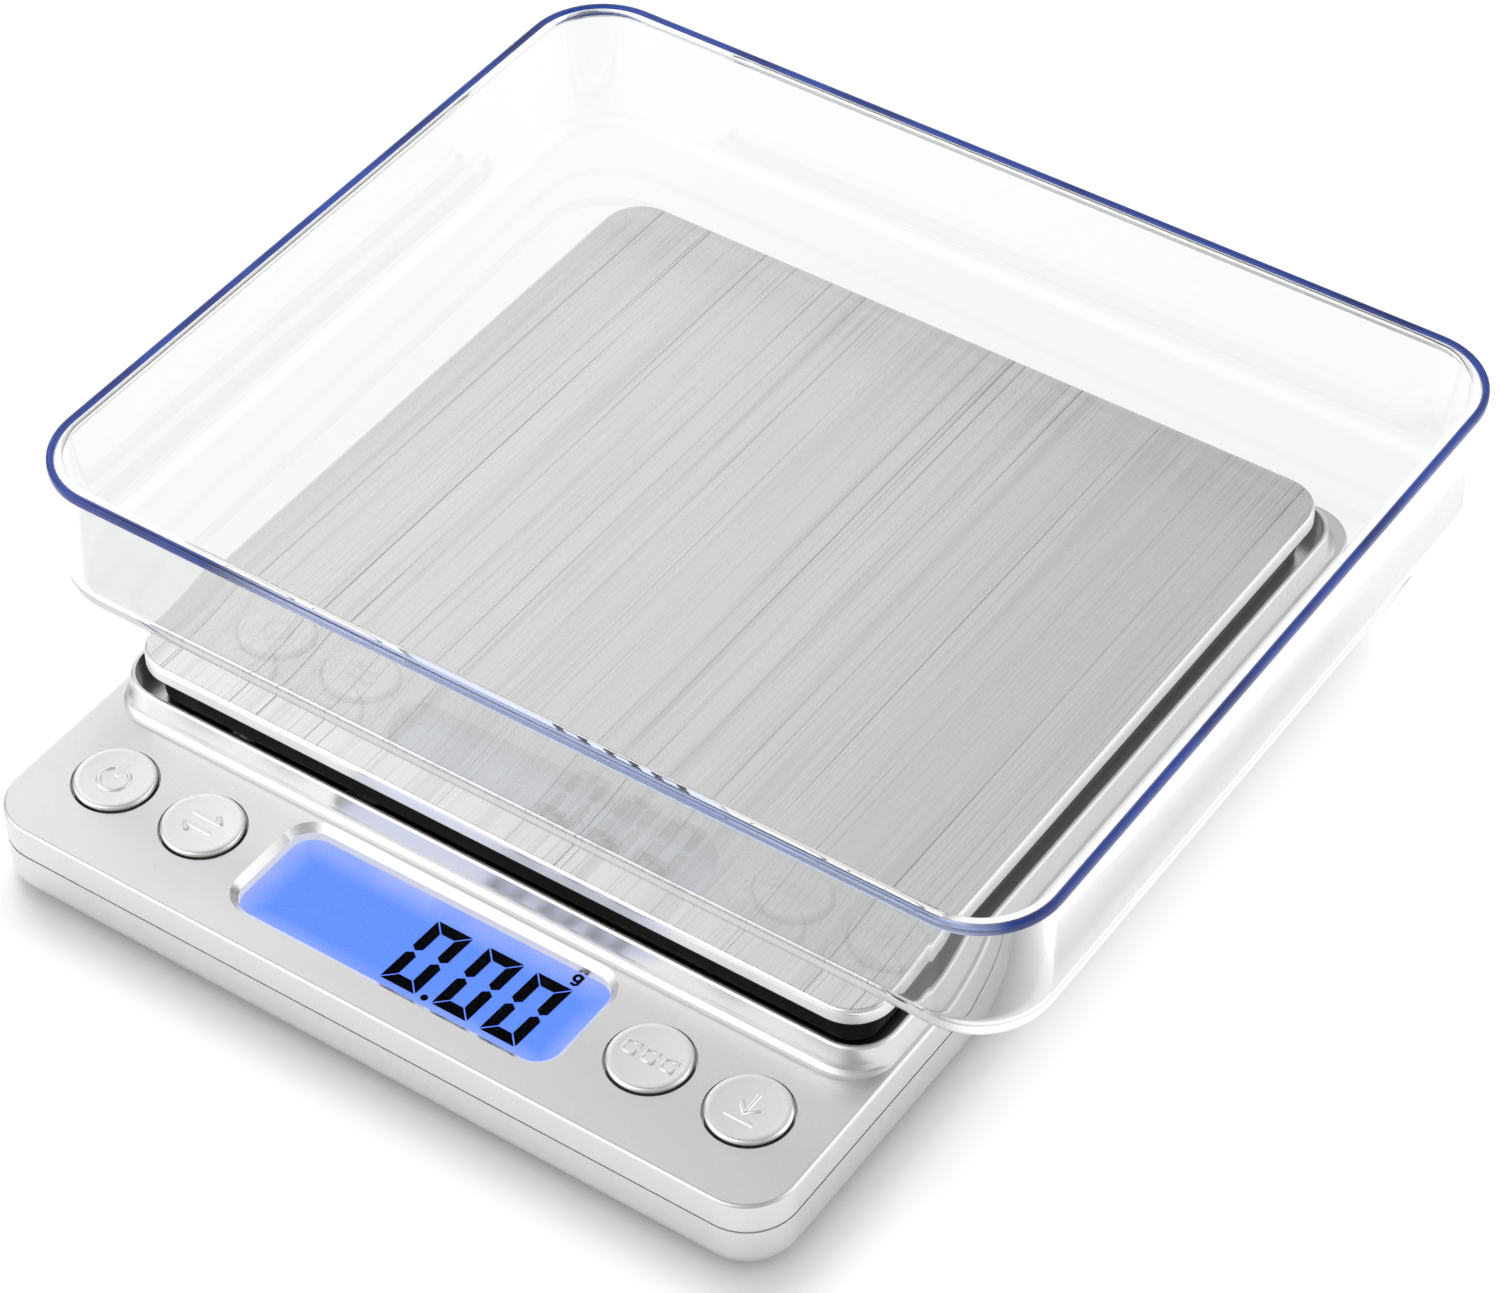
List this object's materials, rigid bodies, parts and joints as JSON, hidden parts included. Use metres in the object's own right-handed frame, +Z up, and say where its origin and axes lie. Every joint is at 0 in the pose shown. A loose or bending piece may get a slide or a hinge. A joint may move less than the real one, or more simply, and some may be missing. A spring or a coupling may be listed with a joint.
{
  "type": "kitchen scale",
  "caption": "Slim electronic kitchen scale with steel platform, lift-off clear tray, recessed backlit display and round push buttons.",
  "frame": {"origin": "bottom centre of the whole object with its tray on: z = 0 is the table, x = 0 the case's centre line, y = 0 half way along the overall depth", "axes": "+Z up, +X to the right of a person facing the display, +Y away from them towards the back"},
  "size_m": [0.1326, 0.134, 0.0374],
  "materials": {
    "silver_plastic": "satin silver paint on moulded ABS",
    "silver_caps": "satin silver paint on button caps",
    "black_plastic": "black moulded ABS",
    "stainless": "brushed along the depth, polished rolled edge",
    "clear_plastic": "clear polystyrene, polished",
    "clear_lens": "clear acrylic, polished",
    "beam_alloy": "machined",
    "rubber_grey": "moulded rubber",
    "board_green": "glass-epoxy with solder mask",
    "chip_black": "moulded resin",
    "lcd_blue": "blue display glass",
    "light_guide": "diffusing light guide",
    "frame_white": "white moulded frame",
    "conductive_rubber": "layered conductive rubber",
    "plated_steel": "nickel plated",
    "battery_sleeve": "printed sleeve, plain",
    "gauge_foil": "foil on amber film",
    "switch_black": "moulded",
    "lead_red": "PVC sleeve",
    "lead_black": "PVC sleeve",
    "lead_grey": "PVC sleeve"
  },
  "bodies": {
    "case": {"battery_bridge": "plated_steel", "battery_first": "battery_sleeve", "battery_lead_negative": "lead_black", "battery_lead_positive": "lead_red", "battery_second": "battery_sleeve", "battery_spring_back": "plated_steel", "battery_spring_front": "plated_steel", "battery_terminal_negative": "plated_steel", "battery_terminal_positive": "plated_steel", "bottom_cover": "silver_plastic", "case_screws": "plated_steel", "circuit_board": "board_green", "circuit_board_screws": "plated_steel", "controller_chip": "chip_black", "display_window": "clear_lens", "foot_back_left": "rubber_grey", "foot_back_right": "rubber_grey", "foot_front_left": "rubber_grey", "foot_front_right": "rubber_grey", "lcd_backlight": "light_guide", "lcd_connector": "conductive_rubber", "lcd_frame": "frame_white", "lcd_glass": "lcd_blue", "load_cell": "beam_alloy", "load_cell_cable": "lead_grey", "load_cell_screws": "plated_steel", "overload_stops": "plated_steel", "strain_gauge_lower_back": "gauge_foil", "strain_gauge_lower_front": "gauge_foil", "strain_gauge_upper_back": "gauge_foil", "strain_gauge_upper_front": "gauge_foil", "switch_count": "switch_black", "switch_mode": "switch_black", "switch_power": "switch_black", "switch_tare": "switch_black", "top_cover": "silver_plastic"},
    "platform": {"carrier_screws": "plated_steel", "platform_carrier": "black_plastic", "platform_plate": "stainless"},
    "tray": {"tray": "clear_plastic"},
    "battery_door": {"battery_door": "silver_plastic"},
    "button_power": {"button_power": "silver_caps", "plunger_power": "switch_black"},
    "button_mode": {"button_mode": "silver_caps", "plunger_mode": "switch_black"},
    "button_count": {"button_count": "silver_caps", "plunger_count": "switch_black"},
    "button_tare": {"button_tare": "silver_caps", "plunger_tare": "switch_black"}
  },
  "joints": [
    {"name": "platform_press", "type": "slide", "parent": "case", "child": "platform", "axis": [0, 0, -1], "range_m": [0, 0.0004], "stiffness_N_per_m": 50000},
    {"name": "tray_lift", "type": "slide", "parent": "platform", "child": "tray", "axis": [0, 0, 1], "range_m": [0, 0.05]},
    {"name": "battery_door_slide", "type": "slide", "parent": "case", "child": "battery_door", "axis": [0, 1, 0], "range_m": [0, 0.05]},
    {"name": "button_power_press", "type": "slide", "parent": "case", "child": "button_power", "axis": [0, 0, -1], "range_m": [0, 0.0005], "stiffness_N_per_m": 3000},
    {"name": "button_mode_press", "type": "slide", "parent": "case", "child": "button_mode", "axis": [0, 0, -1], "range_m": [0, 0.0005], "stiffness_N_per_m": 3000},
    {"name": "button_count_press", "type": "slide", "parent": "case", "child": "button_count", "axis": [0, 0, -1], "range_m": [0, 0.0005], "stiffness_N_per_m": 3000},
    {"name": "button_tare_press", "type": "slide", "parent": "case", "child": "button_tare", "axis": [0, 0, -1], "range_m": [0, 0.0005], "stiffness_N_per_m": 3000}
  ]
}
